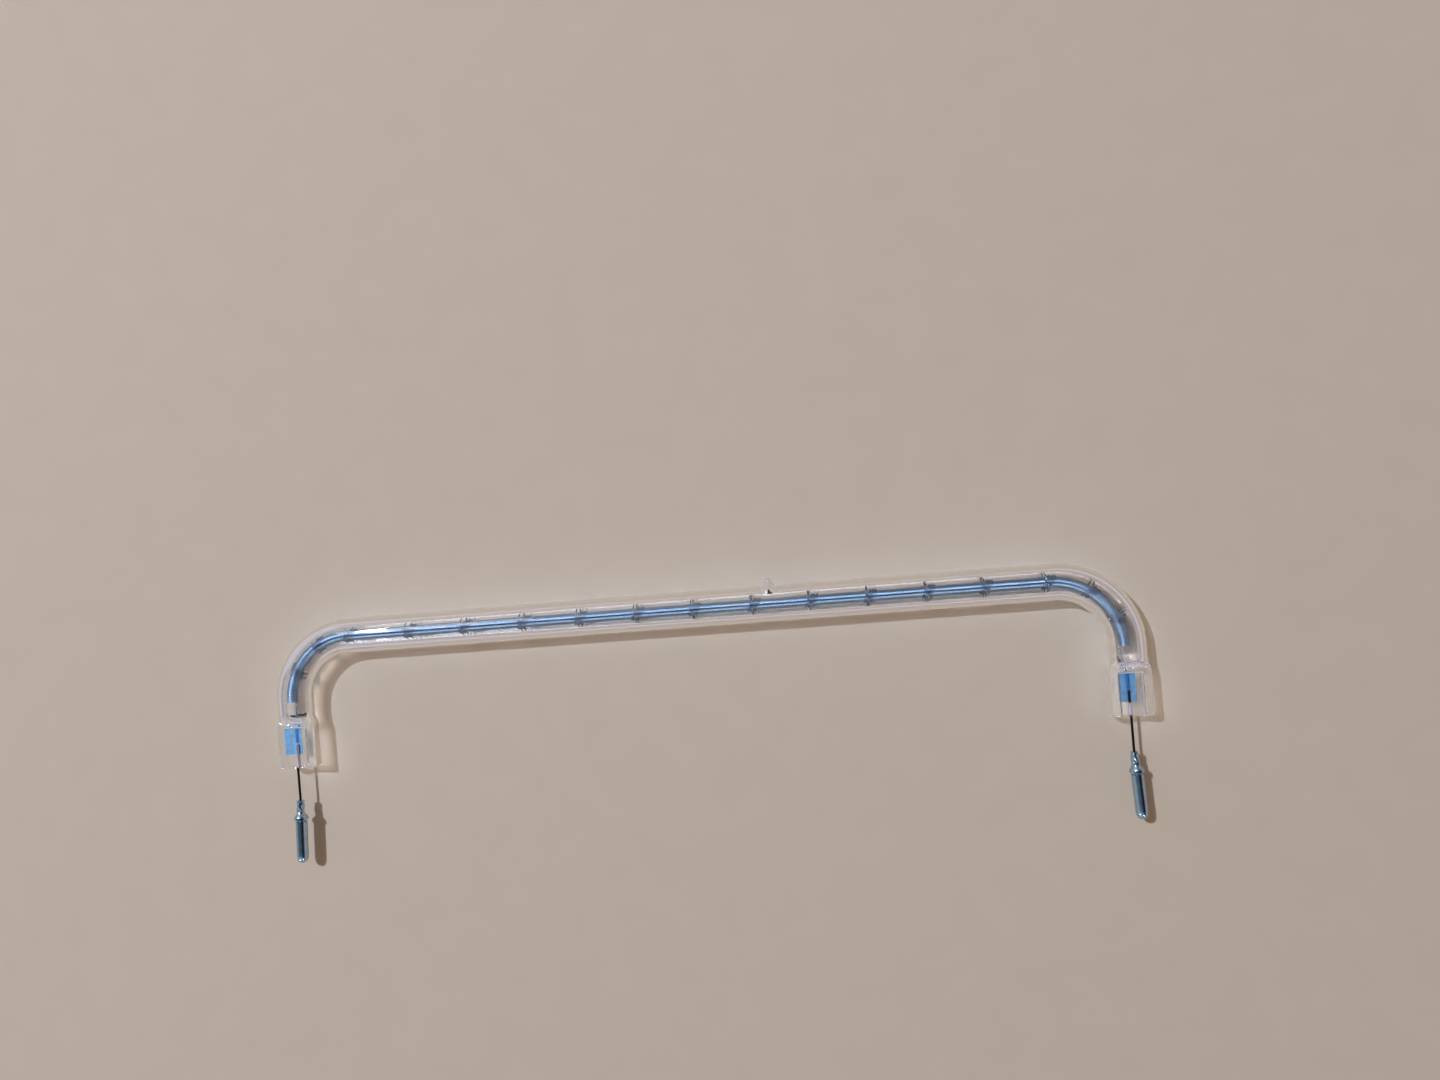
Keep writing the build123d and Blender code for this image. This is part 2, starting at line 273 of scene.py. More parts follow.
# Rolled molybdenum foil, etched: satin light blue, with a darker heat tint along the weld. The light blue,
# partly matt, is a painted reflection of the bluish room light. The etched grain is about 0.01 mm, drawn as
# patches of 1.2 mm that are 4 microns deep
etchedFoil = metalMaterial(
    "molybdenumFoilEtched", ("#6aa0d2", "#84b6e2"), (0.34, 0.5), 1.2 * mm,
    metallic=0.6, grainDepth=0.004 * mm, mask=("weld", "#3c70ae"),
)
# Molybdenum rod, oxidised by the sealing flame: brown-black and dull in the air, pale and bare in the
# glass. The oxide is patchy at about the rod's own thickness, 0.7 mm
oxidisedRod = metalMaterial(
    "molybdenumRodOxidised", ("#1d1614", "#3a2a24"), (0.3, 0.42), 0.7 * mm,
    metallic=0.9, mask=("bare", "#c9c4d4"),
)
# Nickel plate on turned brass: smooth and bright, with cloudy patches of about 2 mm. Its faint blue is a
# painted reflection of the bluish room light.
nickelPlate = metalMaterial("nickelPlatedBrass", ("#a2bacb", "#b4cad8"), (0.15, 0.2), 2.0 * mm)
print("materials made")


quartz = {
    "bendRadius": 17.5 * mm,
    "wall": 1.0 * mm,
    "pressLength": 14.9 * mm,
    "shoulderLength": 2.6 * mm,
    "halfWidth": 5.5 * mm,
    "ribHalfThickness": 2.1 * mm,
    "webHalfThickness": 1.1 * mm,
    "webHalfWidth": 3.0 * mm,
    "wallSlope": 0.7 * mm,        # width over which a rib falls to the web
    "cornerRadius": 0.6 * mm,
    "endRadius": 0.8 * mm,
    "edgeRadius": 0.5 * mm,
    "webTopGap": 0.3 * mm,        # the recess ends this far below the shoulder
    "webTopSlope": 0.6 * mm,      # and runs out over this length
    "shoulderDip": 0.8 * mm,      # the flat reaches this much further up in its middle
    "endFaceShare": 0.93,         # of the flat's width, where its end is plain
    "endFaceHalfHeight": 0.86 * mm,
    "channelRadius": 0.48 * mm,   # open round the rod
    "channelLength": 3.3 * mm,
    "channelRise": 0.305 * mm,
    "boreEndDepth": 2.2 * mm,
    "boreEndSlit": 0.4 * mm,      # half its height there
    "boreEndRings": 14,
    "nubX": 22.8 * mm,
    "nubTilt": math.radians(25),
    "nubHeight": 2.8 * mm,
    "nubRadius": 2.0 * mm,
    "nubTip": 0.75 * mm,
    "nubBlend": 0.5 * mm,
    "nubReach": 3.2 * mm,         # along the span, to either side
    "nubBoreRadius": 1.2 * mm,
    "nubBoreDepth": 0.5 * mm,
    "nubBoreTip": 0.3 * mm,
    "shoulderRipples": 1.6 * mm,  # half their length at a shoulder
    "endRipples": 0.6 * mm,       # their length at a flat end
    "rippleFade": 0.8 * mm,
    "nubRipples": 1.5 * mm,       # round the nub's root
    "nubRippleFade": 2.5 * mm,
    "sides": 112,
}
legX = glassHigh.x - quartz["halfWidth"]
tubeRadius = axisZ - glassLow.z
boreRadius = tubeRadius - quartz["wall"]
tubeLine, tubeLengths = uLine(-legX, legX, pressEndY, quartz["bendRadius"])


def pressOutline():
    # one quarter of the flat's cross-section, 29 points from its side to its middle, as (across, height)
    q = quartz
    points = []
    straight = q["ribHalfThickness"] - q["cornerRadius"]
    for i in range(4):
        points.append((q["halfWidth"], straight * i / 4))
    for i in range(6):
        angle = math.pi / 2 * i / 6
        inset = q["cornerRadius"] * (1 - math.cos(angle))
        points.append((q["halfWidth"] - inset, straight + q["cornerRadius"] * math.sin(angle)))
    ribInner = q["webHalfWidth"] + q["wallSlope"] / 2
    ribOuter = q["halfWidth"] - q["cornerRadius"]
    for i in range(4):
        points.append((ribOuter + (ribInner - ribOuter) * i / 4, q["ribHalfThickness"]))
    for i in range(9):
        points.append((ribInner - q["wallSlope"] * i / 9, q["ribHalfThickness"]))
    webOuter = ribInner - q["wallSlope"]
    for i in range(6):
        points.append((webOuter * (1 - i / 5), q["ribHalfThickness"]))
    return points


def fullRing(quarter):
    # mirrors a quarter outline of 29 points into a ring of 112
    ring = list(quarter)
    ring += [(-a, b) for a, b in quarter[-2::-1]]
    ring += [(-a, -b) for a, b in quarter[1:]]
    ring += [(a, -b) for a, b in quarter[-2:0:-1]]
    return ring


flatRing = fullRing(pressOutline())
ringAngles = [2 * math.pi * i / quartz["sides"] for i in range(quartz["sides"])]
roundRing = [(math.cos(angle), math.sin(angle)) for angle in ringAngles]


def recessDepth(across, fromEnd):
    # how far the web lies below the ribs' tops at this point of the flat
    q = quartz
    ribInner = q["webHalfWidth"] + q["wallSlope"] / 2
    sideways = smoothStep((ribInner - abs(across)) / q["wallSlope"])
    top = q["pressLength"] - q["shoulderLength"] - q["webTopGap"]
    lengthways = smoothStep((top - fromEnd) / q["webTopSlope"])
    return (q["ribHalfThickness"] - q["webHalfThickness"]) * sideways * lengthways


def envelopeRing(distance):
    # the outer skin's ring at this distance from the left flat end
    q = quartz
    centre, along, outward = tubeLine(distance)
    fromEnd = min(distance, tubeLengths["total"] - distance)
    towardsEnd = -along if distance < tubeLengths["total"] / 2 else along
    points = []
    if fromEnd > q["pressLength"]:
        for a, b in roundRing:
            points.append(centre + (outward * a + up * b) * tubeRadius)
        return points
    shoulder = (fromEnd - (q["pressLength"] - q["shoulderLength"])) / q["shoulderLength"]
    roundness = smoothStep(shoulder)
    endInset = roundedInset(fromEnd, q["endRadius"])
    edgeInset = roundedInset(fromEnd, q["edgeRadius"])
    ribRise = q["ribHalfThickness"] - q["webHalfThickness"]
    for (a, b), (c, d) in zip(flatRing, roundRing):
        height = abs(b)
        if height > q["ribHalfThickness"] * 0.999:
            height -= recessDepth(a, fromEnd)
        # the end's edge is rounded in full on the ribs and less on the web
        ribShare = max(0.0, (height - q["webHalfThickness"]) / ribRise)
        if height > q["webHalfThickness"] * 0.5:
            height -= min(height, edgeInset * (0.3 + 0.7 * ribShare))
        height = math.copysign(height, b)
        across = a * (1 - endInset / q["halfWidth"])
        x = across + (c * tubeRadius - across) * roundness
        z = height + (d * tubeRadius - height) * roundness
        dip = q["shoulderDip"] * max(0.0, 1 - abs(x) / q["halfWidth"]) * 4 * roundness * (1 - roundness)
        points.append(centre + outward * x + up * z - towardsEnd * dip)
    return points


def roundedInset(depth, radius):
    # how far a rounded edge stands back from its plane at this depth
    if depth >= radius:
        return 0.0
    rest = min(1.0, 1 - depth / radius)
    return radius * (1 - math.sqrt(1 - rest * rest))


def nubLift(point, height, radius, tip):
    # how far the molten pip draws this point of the wall out, along the nub's own axis
    foot = Vector((quartz["nubX"], spanY, axisZ))
    axis = Vector((0, math.cos(quartz["nubTilt"]), math.sin(quartz["nubTilt"])))
    offset = point - foot
    if offset.dot(axis) < 0:
        return Vector((0, 0, 0))
    away = (offset - axis * offset.dot(axis)).length
    if away < tip:
        lift = height - tip + math.sqrt(tip * tip - away * away)
    elif away < radius:
        lift = (height - tip) * (radius - away) / (radius - tip)
    else:
        lift = 0.0
    blend = quartz["nubBlend"]
    if radius - blend < away < radius + blend:
        share = (radius + blend - away) / (2 * blend)
        lift = (height - tip) * blend / (radius - tip) * share * share
    return axis * lift


def ringPlaces():
    # where the rings stand: close together at the flat's rounded end, at the recess, through the
    # shoulder, round the bends and at the nub; those of the press are millimetres from its end
    q = quartz
    press = [0, 0.03, 0.08, 0.16, 0.28, 0.42, 0.6, 0.8, 1.5, 3, 5, 7, 9, 11]
    press += [11.4 + 0.1 * i for i in range(10)]
    press += [12.4 + 0.125 * i for i in range(21)]
    ends = [value * mm for value in press]
    legEnd = tubeLengths["leg"]
    arcEnd = legEnd + tubeLengths["arc"]
    ends += [q["pressLength"] + 0.4 * mm, q["pressLength"] + 1.5 * mm, legEnd]
    ends += [legEnd + tubeLengths["arc"] * i / 40 for i in range(1, 41)]
    places = ends + [tubeLengths["total"] - value for value in ends]
    nubPlace = tubeLengths["total"] / 2 + q["nubX"]
    places += [nubPlace + 0.15 * mm * i for i in range(-18, 19)]
    spanStep = tubeLengths["span"] / 32
    spanPlaces = [arcEnd + spanStep * i for i in range(1, 32)]
    places += [place for place in spanPlaces if abs(place - nubPlace) > 3 * mm]
    return sorted(set(round(value, 8) for value in places))


def buildQuartz():
    q = quartz
    sides = q["sides"]
    nubPlace = tubeLengths["total"] / 2 + q["nubX"]
    skin = []
    for place in ringPlaces():
        ring = envelopeRing(place)
        if abs(place - nubPlace) < q["nubReach"]:
            ring = [p + nubLift(p, q["nubHeight"], q["nubRadius"], q["nubTip"]) for p in ring]
        skin.append(ring)
    for end in (0, 1):
        centre, along, outward = tubeLine(0 if end == 0 else tubeLengths["total"])
        inwards = along if end == 0 else -along
        exitCentre = Vector((sealX["left" if end == 0 else "right"], centre.y, axisZ + q["channelRise"]))
        outline = skin[0] if end == 0 else skin[-1]
        spine = []
        for p in outline:
            a, b = (p - centre).dot(outward), (p - centre).dot(up)
            b = max(-q["endFaceHalfHeight"], min(q["endFaceHalfHeight"], b))
            spine.append(centre + outward * a * q["endFaceShare"] + up * b)
        exitRing = [exitCentre + (outward * a + up * b) * q["channelRadius"] for a, b in roundRing]
        deepRing = [p + inwards * q["channelLength"] for p in exitRing]
        pole = [exitCentre + inwards * q["channelLength"] + (p - exitCentre) * 0.02 for p in exitRing]
        if end == 0:
            skin = [pole, deepRing, exitRing, spine] + skin
        else:
            skin += [spine, exitRing, deepRing, pole]
    points = [p for ring in skin for p in ring]
    faces = ringFaces(len(skin), sides, flip=True)
    last = len(points) - sides
    faces.append(tuple(range(sides)))
    faces.append(tuple(range(last, last + sides))[::-1])

    bore = []
    start, finish = q["pressLength"], tubeLengths["total"] - q["pressLength"]
    depths = [1 - (i / q["boreEndRings"]) ** 2 for i in range(q["boreEndRings"])]
    for depth in depths:
        bore.append(boreRing(start - depth * q["boreEndDepth"], depth))
    for place in ringPlaces():
        if start <= place <= finish:
            ring = boreRing(place, 0.0)
            if abs(place - nubPlace) < q["nubReach"]:
                ring = [p + nubLift(p, q["nubBoreDepth"], q["nubBoreRadius"], q["nubBoreTip"]) for p in ring]
            bore.append(ring)
    for depth in reversed(depths):
        bore.append(boreRing(finish + depth * q["boreEndDepth"], depth))
    first = len(points)
    points += [p for ring in bore for p in ring]
    faces += ringFaces(len(bore), sides, first)
    last = len(points) - sides
    faces.append(tuple(range(first, first + sides))[::-1])
    faces.append(tuple(range(last, last + sides)))
    piece = makePiece("quartzEnvelope", points, faces, quartzGlass, "quartz_tube", "quartz", 50)

    def pressedShare(point):
        # 1 at a shoulder, at a flat end and at the nub's root, falling to 0 within a millimetre or two
        fromEnd = point.y - pressEndY
        shoulderMiddle = q["pressLength"] - q["shoulderLength"] / 2
        shoulderShare = 1 - smoothStep((abs(fromEnd - shoulderMiddle) - q["shoulderRipples"]) / q["rippleFade"])
        endShare = 1 - smoothStep((fromEnd - q["endRipples"]) / q["rippleFade"])
        nubRoot = Vector((q["nubX"], spanY + tubeRadius, axisZ))
        nubShare = 1 - smoothStep(((point - nubRoot).length - q["nubRipples"]) / q["nubRippleFade"])
        return max(shoulderShare, endShare, nubShare)

    setMask(piece, "pressed", pressedShare)


def boreRing(place, depth):
    # the bore keeps its circle up to the shoulder, then flattens and rounds off
    centre, along, outward = tubeLine(place)
    wide = boreRadius * math.sqrt(max(0.0004, 1 - depth * depth))
    high = boreRadius + (quartz["boreEndSlit"] - boreRadius) * depth
    high *= math.sqrt(max(0.0004, 1 - depth ** 8))
    return [centre + outward * a * wide + up * b * high for a, b in roundRing]


buildQuartz()
print("quartz envelope made")


filament = {
    "wireRadius": 0.21 * mm,
    "pitch": 0.48 * mm,
    "segments": 16,
    "sides": 10,
    "bendRadius": 18.0 * mm,
    "straightEnd": 0.5 * mm,
    "tailHeight": -0.175 * mm,    # of the tail under the foil, from the lamp's middle plane
    "tailOverlap": 4.4 * mm,
    "tailStraight": 0.5 * mm,     # in line with the foil this far before it
    "tailDrop": 0.7 * mm,         # straight down from the last turn
}
coilLeftX = coilLow.x + coilRadius
coilRightX = coilHigh.x - coilRadius
coilEndY = spanY - filament["bendRadius"] - filament["straightEnd"]
coilLine, coilLengths = uLine(coilLeftX, coilRightX, coilEndY, filament["bendRadius"])


def turnsPath():
    # the close winding; its pitch is a usual one, because the photograph shows only smooth bright bands
    f = filament
    radius = coilRadius - f["wireRadius"]
    inset = f["wireRadius"]
    length = coilLengths["total"] - 2 * inset
    turns = round(length / f["pitch"])
    path = []
    for i in range(turns * f["segments"] + 1):
        share = i / (turns * f["segments"])
        centre, along, outward = coilLine(inset + length * share)
        angle = math.pi + 2 * math.pi * turns * share
        path.append(centre + (outward * math.cos(angle) + up * math.sin(angle)) * radius)
    return path


def tailPath(name, wireEnd, direction):
    # the tail leaves the last turn, bends down the leg and runs under the foil
    f = filament
    below = Vector((0, -1, 0))
    away = wireEnd + below * f["tailDrop"]
    foot = Vector((sealX[name], foilHigh.y + f["tailStraight"], axisZ + f["tailHeight"]))
    tip = foot + below * (f["tailStraight"] + f["tailOverlap"])
    slope = (foot - away).normalized()
    bendStart, bendEnd = foot - slope * 0.4 * mm, foot + below * 0.4 * mm
    path = bezier(wireEnd, wireEnd + direction * 0.3 * mm, away - slope * 0.3 * mm, away, 6)
    path += bezier(away, away + slope * 1.5 * mm, foot - slope * 1.2 * mm, bendStart, 6)[1:]
    path += bezier(bendStart, foot - slope * 0.1 * mm, foot + below * 0.1 * mm, bendEnd, 4)[1:]
    path.append(tip)
    return path


def buildFilament():
    f = filament
    turns = turnsPath()
    startDirection = (turns[0] - turns[1]).normalized()
    endDirection = (turns[-1] - turns[-2]).normalized()
    before = tailPath("left", turns[0], startDirection)
    after = tailPath("right", turns[-1], endDirection)
    winding = wireAlong(before[:0:-1] + turns + after[1:], f["wireRadius"], f["sides"])
    makePiece("woundFilament", *winding, tungstenWire, "filament", "filament_wire", 70)


buildFilament()
print("filament made")


support = {
    "wireRadius": 0.175 * mm,
    "gripTurns": 3,
    "gripPitch": 0.7 * mm,
    "gripPlay": 0.02 * mm,
    "slant": 0.5,                 # the tight turns lean along the winding
    "loopPlay": 0.7 * mm,         # between the loop and the bore
    "loopAngle": math.radians(300),
    "loopGap": 0.1 * mm,          # between the last tight turn and the loop
    "loopDrift": 0.8 * mm,        # the loop leans back over the tight turns
    "loopSegments": 42,
    "segments": 36,               # of each tight turn
    "sides": 8,
}


def nearestPlace(line, lengths, target):
    # the distance along a line where it comes nearest to a point
    low, high = 0.0, lengths["total"]
    for _ in range(60):
        first, second = low + (high - low) / 3, high - (high - low) / 3
        if (line(first)[0] - target).length < (line(second)[0] - target).length:
            high = second
        else:
            low = first
    return low


def supportPath(place):
    s = support
    gripRadius = coilRadius + s["gripPlay"] + s["wireRadius"]
    loopRadius = boreRadius - s["loopPlay"] - s["wireRadius"]
    centre, along, outward = coilLine(place)
    shift = (tubeLine(nearestPlace(tubeLine, tubeLengths, centre))[0] - centre).dot(outward)
    gripLength = s["gripTurns"] * s["gripPitch"]
    path = []

    def put(offset, angle, radius, centreShift, slant):
        # adds a point at this angle round the winding, so far along it from the support's place
        a = centreShift + radius * math.cos(angle)
        b = radius * math.sin(angle)
        centre, along, outward = coilLine(place + offset + slant * radius * math.cos(angle))
        path.append(centre + outward * a + up * b)

    count = s["gripTurns"] * s["segments"]
    for i in range(count):
        share = i / count
        angle = math.pi - 2 * math.pi * s["gripTurns"] * share
        put(gripLength * (0.5 - share), angle, gripRadius, 0.0, s["slant"])
    half = s["segments"] // 2
    for i in range(half):
        share = i / half
        opened = smoothStep(share)
        radius = gripRadius + (loopRadius - gripRadius) * opened
        offset = -gripLength / 2 - s["loopGap"] * share
        put(offset, math.pi - math.pi * share, radius, shift * opened, s["slant"] * (1 - opened))
    for i in range(s["loopSegments"] + 1):
        share = i / s["loopSegments"]
        offset = -gripLength / 2 - s["loopGap"] + s["loopDrift"] * share
        put(offset, -s["loopAngle"] * share, loopRadius, shift, 0.0)
    return path


supportNodes = sorted(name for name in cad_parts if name.startswith("support_"))
for node in supportNodes:
    low, high = [Vector(corner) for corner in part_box(node)]
    place = nearestPlace(coilLine, coilLengths, (low + high) / 2)
    wire = wireAlong(supportPath(place), support["wireRadius"], support["sides"])
    makePiece("spiralSupport" + node[-2:], *wire, supportWire, node, "support_wire", 70)
print("supports made")


foil = {
    "halfThickness": 0.025 * mm,
    "halfWidth": 2.1 * mm,
    "tailRidge": 0.10 * mm,       # the foil lies over the tail in a ridge
    "leadDent": 0.05 * mm,        # and is pressed down under the rod
    "creaseWidth": 0.42 * mm,
    "creaseEase": 0.5 * mm,
    "wave": 0.05 * mm,            # height of the foil's waves, and their lengths over 2 pi
    "waveAcross": 0.75 * mm,
    "waveDown": 2.1 * mm,
    "waveLean": 1.6 * mm,
    "tintWidth": 1.1 * mm,        # of the heat tint along the weld
    "tintEdge": 0.25 * mm,
    "tintEnd": 0.8 * mm,
    "across": 28,
    "down": 60,
}


def foilHeight(u, y, wireShift):
    # how high the foil's middle lies, u across from its centre line and at this y
    f = foil
    profile = math.exp(-((u - wireShift) / f["creaseWidth"]) ** 2)
    tailEnd = foilHigh.y - filament["tailOverlap"]
    leadEnd = foilLow.y + lead["overlap"]
    ridge = f["tailRidge"] * profile * smoothStep((y - tailEnd) / f["creaseEase"] + 0.5)
    dent = f["leadDent"] * profile * smoothStep((leadEnd - y) / f["creaseEase"] + 0.5)
    wave = f["wave"] * math.sin(u / f["waveAcross"]) * math.sin(y / f["waveDown"] + u / f["waveLean"])
    fade = 1 - min(1.0, abs(u) / f["halfWidth"]) ** 4     # flat at its edges
    return ridge - dent + wave * fade


def buildFoil(name):
    f = foil
    low, high = foilBoxes[name]
    columns, rows = f["across"] + 1, f["down"] + 1
    points, faces = [], []
    for face in (1, -1):
        for j in range(rows):
            for i in range(columns):
                u = (i / f["across"] - 0.5) * (high.x - low.x)
                y = low.y + (high.y - low.y) * j / f["down"]
                z = axisZ + foilHeight(u, y, sealX[name] - foilX[name]) + face * f["halfThickness"]
                points.append(Vector((foilX[name] + u, y, z)))
    size = columns * rows
    for j in range(f["down"]):
        for i in range(f["across"]):
            a = j * columns + i
            faces.append((a, a + 1, a + columns + 1, a + columns))
            faces.append((size + a, size + a + columns, size + a + columns + 1, size + a + 1))
    rim = [i for i in range(columns)]
    rim += [j * columns + columns - 1 for j in range(1, rows)]
    rim += [(rows - 1) * columns + i for i in range(columns - 2, -1, -1)]
    rim += [j * columns for j in range(rows - 2, 0, -1)]
    for a, b in zip(rim, rim[1:] + rim[:1]):
        faces.append((b, a, size + a, size + b))
    piece = makePiece(f"sealFoil{name.capitalize()}", points, faces, etchedFoil, f"foil_{name}", "foil", 40)
    tailEnd = foilHigh.y - filament["tailOverlap"]

    def weldShare(point):
        # the weld to the tail leaves a dark heat tint down the middle
        across = 1 - smoothStep((abs(point.x - sealX[name]) - f["tintWidth"] / 2) / f["tintEdge"] + 0.5)
        return across * smoothStep((point.y - tailEnd) / f["tintEnd"] + 0.5)

    setMask(piece, "weld", weldShare)


lead = {
    "radius": leadRadius,
    "overlap": 3.1 * mm,
    "height": 0.305 * mm,         # above the lamp's middle plane
    "straight": 8.7 * mm,         # from the press to its bend
    "bendEase": 0.6 * mm,
    "endStraight": 0.8 * mm,      # from its bend to the terminal
    "grip": 4.0 * mm,             # inside the terminal
    "bareEdge": 0.5 * mm,         # length over which bare metal turns to oxide
    "sides": 20,
}
terminal = {
    "lean": math.radians(2.4),    # away from the other terminal
    "barrelRadius": 1.1 * mm,
    "barrelLength": 3.5 * mm,
    "sheet": 0.3 * mm,
    "twist": 2.4,                 # of the seam and folds down the barrel, in radians
    "foldDepth": 0.11 * mm,
    "foldStart": 0.8 * mm,        # the folds grow over this length
    "foldEnd": 2.9 * mm,          # and run out from here
    "foldFade": 0.6 * mm,
    "coneLength": 1.3 * mm,
    "coneEdge": 0.12 * mm,        # the cone ends this much inside the collar
    "collarRadius": 1.95 * mm,
    "collarLength": 0.7 * mm,
    "neckRadius": 1.2 * mm,
    "neckLength": 0.4 * mm,
    "pinRadius": 1.6 * mm,
    "pinLength": 12.4 * mm,
    "tipLength": 2.2 * mm,
    "tipRadius": 0.6 * mm,
    "bevel": 0.1 * mm,
    "sides": 64,
}


def leadLine(side, name):
    # where the rod bends, and which way the terminal points from there
    bend = Vector((sealX[name], pressEndY - lead["straight"], axisZ + lead["height"]))
    toTip = Vector((side * math.sin(terminal["lean"]), -math.cos(terminal["lean"]), 0))
    return bend, toTip


def buildLead(side, name):
    bend, toTip = leadLine(side, name)
    start = Vector((bend.x, foilLow.y + lead["overlap"], bend.z))
    below = Vector((0, -1, 0))
    ease = lead["bendEase"]
    path = [start + below * (start.y - pressEndY) * i / 24 for i in range(25)]
    firstHandle, lastHandle = bend - below * ease * 0.4, bend + toTip * ease * 0.4
    path += bezier(bend - below * ease, firstHandle, lastHandle, bend + toTip * ease, 6)
    path.append(bend + toTip * (lead["endStraight"] + lead["grip"]))
    rod = wireAlong(path, lead["radius"], lead["sides"])
    piece = makePiece(f"leadRod{name.capitalize()}", *rod, oxidisedRod, f"lead_{name}", "lead_rod", 40)

    def bareShare(point):
        # bright inside the glass, where no air reached it while hot; the right one's weld stayed dark
        welded = 1.0 if side < 0 else smoothStep((foilLow.y - point.y) / lead["bareEdge"] + 0.2)
        return welded * smoothStep((point.y - pressEndY) / lead["bareEdge"])

    setMask(piece, "bare", bareShare)


def barrelRadiusAt(angle, depth):
    # the rolled sheet overlaps itself along a seam that twists, with folds left by the crimping tool
    t = terminal
    twist = t["twist"] * depth / t["barrelLength"]
    turn = ((angle + twist) / (2 * math.pi)) % 1.0
    overlap = t["sheet"] * 0.5 * smoothStep(turn / 0.85) * (1 - smoothStep((turn - 0.93) / 0.07))
    folds = t["foldDepth"] * math.sin(3 * (angle + twist)) * smoothStep(depth / t["foldStart"])
    folds *= 1 - smoothStep((depth - t["foldEnd"]) / t["foldFade"])
    return t["barrelRadius"] - t["sheet"] * 0.5 + overlap + folds


def terminalProfile():
    # (distance from the barrel's mouth, radius) down to the tip, with small bevels
    t = terminal
    cone = t["barrelLength"]
    collar = cone + t["coneLength"]
    pin = collar + t["collarLength"]
    length = pin + t["pinLength"]
    bevel = t["bevel"]
    neckEnd = pin + t["neckLength"]
    shaft = neckEnd + bevel
    profile = [
        (collar - 0.05 * mm, t["collarRadius"] - t["coneEdge"]), (collar, t["collarRadius"] - 0.02 * mm),
        (collar + bevel, t["collarRadius"]), (pin - bevel, t["collarRadius"]),
        (pin, t["collarRadius"] - bevel), (pin, t["neckRadius"] + bevel / 2),
        (pin + bevel / 2, t["neckRadius"]), (neckEnd - bevel / 2, t["neckRadius"]),
        (neckEnd, t["neckRadius"] + bevel / 2), (neckEnd + 0.02 * mm, t["pinRadius"] - bevel),
        (shaft, t["pinRadius"]),
    ]
    tipStart = length - t["tipLength"]
    reach = t["pinRadius"] - t["tipRadius"]
    for i in range(4):
        profile.append((shaft + (tipStart - shaft) * (i + 1) / 4, t["pinRadius"]))
    for i in range(1, 13):
        angle = math.pi / 2 * i / 12
        depth = tipStart + t["tipLength"] * math.sin(angle) * 0.985
        profile.append((depth, t["pinRadius"] - reach * (1 - math.cos(angle))))
    profile += [(length - 0.01 * mm, t["tipRadius"] * 0.75), (length, t["tipRadius"] * 0.4)]
    return profile


def buildTerminal(side, name):
    t = terminal
    bend, toTip = leadLine(side, name)
    top = bend + toTip * lead["endStraight"]
    sideways = up.cross(toTip)
    sides = t["sides"]
    rings = []

    def ring(depth, radiusOf):
        # points round the terminal's axis, this deep from the barrel's mouth
        centre = top + toTip * depth
        angles = [2 * math.pi * k / sides for k in range(sides)]
        return [centre + (sideways * math.cos(a) + up * math.sin(a)) * radiusOf(a) for a in angles]

    # a mouth that shows the sheet's thickness, then the barrel, the flare and the turned pin
    rings.append(ring(0.9 * mm, lambda angle: lead["radius"] * 0.9))
    rings.append(ring(0.3 * mm, lambda angle: lead["radius"] * 1.5))
    rings.append(ring(0.02 * mm, lambda angle: barrelRadiusAt(angle, 0) - t["sheet"]))
    rings.append(ring(0.0, lambda angle: barrelRadiusAt(angle, 0) - t["sheet"] + 0.04 * mm))
    rings.append(ring(0.0, lambda angle: barrelRadiusAt(angle, 0) - 0.05 * mm))
    for i in range(22):
        depth = 0.05 * mm + (t["barrelLength"] - 0.05 * mm) * i / 21
        rings.append(ring(depth, lambda angle, depth=depth: barrelRadiusAt(angle, depth)))
    for i in range(1, 10):
        share = i / 10
        depth = t["barrelLength"] + (t["coneLength"] - 0.05 * mm) * share
        flare = smoothStep(share) * 0.6 + share * 0.4

        def coneRadius(angle, flare=flare):
            mouth = barrelRadiusAt(angle, t["barrelLength"])
            return mouth + (t["collarRadius"] - t["coneEdge"] - mouth) * flare

        rings.append(ring(depth, coneRadius))
    for depth, radius in terminalProfile():
        rings.append(ring(depth, lambda angle, radius=radius: radius))
    points = [p for one in rings for p in one]
    faces = ringFaces(len(rings), sides)
    last = len(points) - sides
    faces.append(tuple(range(sides))[::-1])
    faces.append(tuple(range(last, last + sides)))
    pieceName = f"pinTerminal{name.capitalize()}"
    makePiece(pieceName, points, faces, nickelPlate, f"terminal_{name}", "terminal_plating", 35)


for name, side in (("left", -1), ("right", 1)):
    buildFoil(name)
    buildLead(side, name)
    buildTerminal(side, name)
print("foils, leads and terminals made")


studio = {
    "floorSize": 6.0,
    "floorDrop": 0.03 * mm,       # the floor lies this far under the lamp
    "backdropColour": "#d6d2d0",
    "fillColour": "#ffdcbb",      # even light from all round for what is matt, so the shadows stay warm
    "fillStrength": 0.27,
    "horizonColour": "#c6bec6",
    "leftColour": "#b2c0cc",      # the room is bright and bluish on the left, dark on the right
    "middleColour": "#6d8496",
    "rightColour": "#2a2f3a",
    "bandStrength": 3.6,          # two bright bands run along the span, either side of the camera
    "farBandColour": "#eeeef2",
    "nearBandColour": "#fff6f4",
    "bandDepth": 4,               # walls passed on the way to the winding and out again
    "glowStrength": 1.6,
    "glowColour": "#c4d4ee",
}


